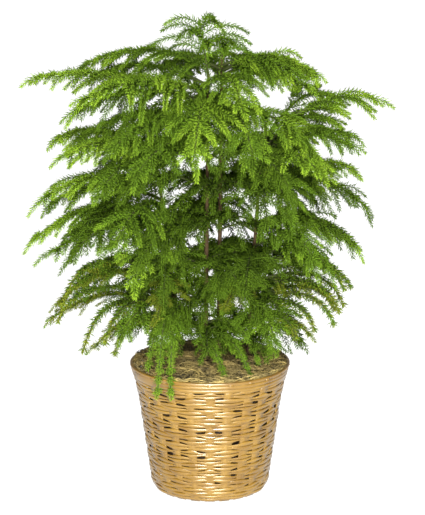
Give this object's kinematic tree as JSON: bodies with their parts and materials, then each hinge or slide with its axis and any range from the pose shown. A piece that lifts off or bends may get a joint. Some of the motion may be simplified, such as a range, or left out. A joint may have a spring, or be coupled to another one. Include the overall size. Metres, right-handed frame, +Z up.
{
  "type": "potted norfolk island pine",
  "caption": "Potted young conifer clump: slender stems with tiers of arching, drooping needle fronds, standing in a moss-topped woven wicker basket as an indoor plant.",
  "frame": {"origin": "centre of the basket's flat underside", "axes": "+Z up along the stems, -Y towards the front of the plant as seen in the picture, +X to its right"},
  "size_m": [0.5659, 0.4491, 0.7437],
  "materials": {
    "wicker": "satin golden split reed",
    "border": "satin golden split reed",
    "pot": "matte dark",
    "soil": "rough crumbly",
    "moss": "curly dry fibre",
    "bark": "rough bark",
    "bough": "green young bark",
    "needles": "satin needles"
  },
  "bodies": {
    "root": {"basket_rim": "border", "basket_wall": "wicker", "bough_crown_1": "bough", "bough_crown_2": "bough", "bough_crown_3": "bough", "bough_crown_4": "bough", "bough_middle_1": "bough", "bough_middle_2": "bough", "bough_middle_3": "bough", "bough_middle_4": "bough", "bough_middle_5": "bough", "bough_shoulder_1": "bough", "bough_shoulder_2": "bough", "bough_shoulder_3": "bough", "bough_shoulder_4": "bough", "bough_shoulder_5": "bough", "bough_upper_1": "bough", "bough_upper_2": "bough", "bough_upper_3": "bough", "bough_upper_4": "bough", "bough_upper_5": "bough", "bough_upper_6": "bough", "foliage_crown_1": "needles", "foliage_crown_2": "needles", "foliage_crown_3": "needles", "foliage_crown_4": "needles", "foliage_low_1": "needles", "foliage_low_2": "needles", "foliage_low_3": "needles", "foliage_low_4": "needles", "foliage_low_5": "needles", "foliage_low_6": "needles", "foliage_low_7": "needles", "foliage_low_8": "needles", "foliage_low_9": "needles", "foliage_middle_1": "needles", "foliage_middle_2": "needles", "foliage_middle_3": "needles", "foliage_middle_4": "needles", "foliage_middle_5": "needles", "foliage_shoulder_1": "needles", "foliage_shoulder_2": "needles", "foliage_shoulder_3": "needles", "foliage_shoulder_4": "needles", "foliage_shoulder_5": "needles", "foliage_top_middle": "needles", "foliage_top_tall": "needles", "foliage_upper_1": "needles", "foliage_upper_2": "needles", "foliage_upper_3": "needles", "foliage_upper_4": "needles", "foliage_upper_5": "needles", "foliage_upper_6": "needles", "grow_pot": "pot", "moss": "moss", "soil": "soil", "stem_left": "bark", "stem_middle": "bark", "stem_right": "bark", "stem_tall": "bark"}
  },
  "joints": []
}
